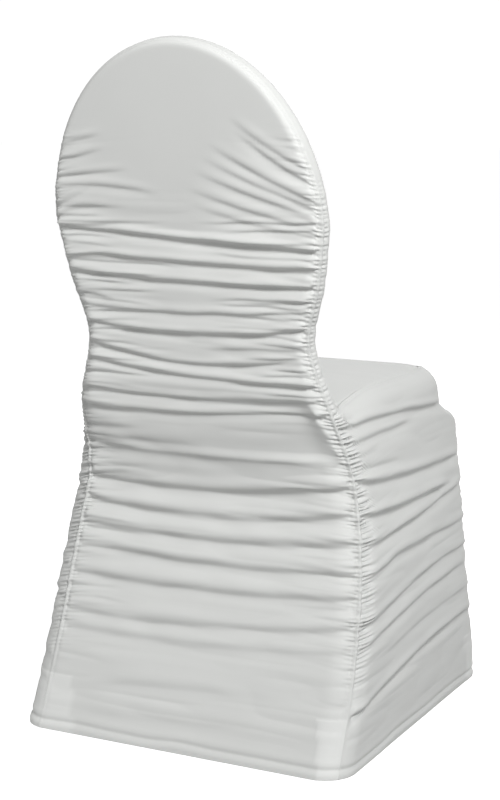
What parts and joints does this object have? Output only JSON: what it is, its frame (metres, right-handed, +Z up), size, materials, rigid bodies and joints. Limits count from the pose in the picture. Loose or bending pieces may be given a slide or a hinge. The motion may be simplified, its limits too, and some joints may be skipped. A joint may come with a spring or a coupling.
{
  "type": "stretch chair cover",
  "caption": "Ruched stretch cover for a round-backed banquet chair: round crown, narrow waist, seat and skirt to the floor with doubled corners that take the feet.",
  "frame": {"origin": "under the crown on the centre plane, at the inner face of the cloth, where the top of the chair's back holds the cover up", "axes": "+Z up, the sitter faces -Y, +X to the sitter's left"},
  "size_m": [0.4907, 0.5123, 0.9282],
  "materials": {
    "cover_cloth": "matt off-white stretch knit, fine smooth face",
    "pocket_cloth": "the same knit, doubled"
  },
  "bodies": {
    "root": {"back_panel": "cover_cloth", "inner_back_panel": "cover_cloth", "seat_panel": "cover_cloth", "side_panel_right": "cover_cloth", "side_panel_left": "cover_cloth", "foot_pocket_rear_right": "pocket_cloth", "foot_pocket_rear_left": "pocket_cloth", "foot_pocket_front_right": "pocket_cloth", "foot_pocket_front_left": "pocket_cloth"}
  },
  "joints": []
}
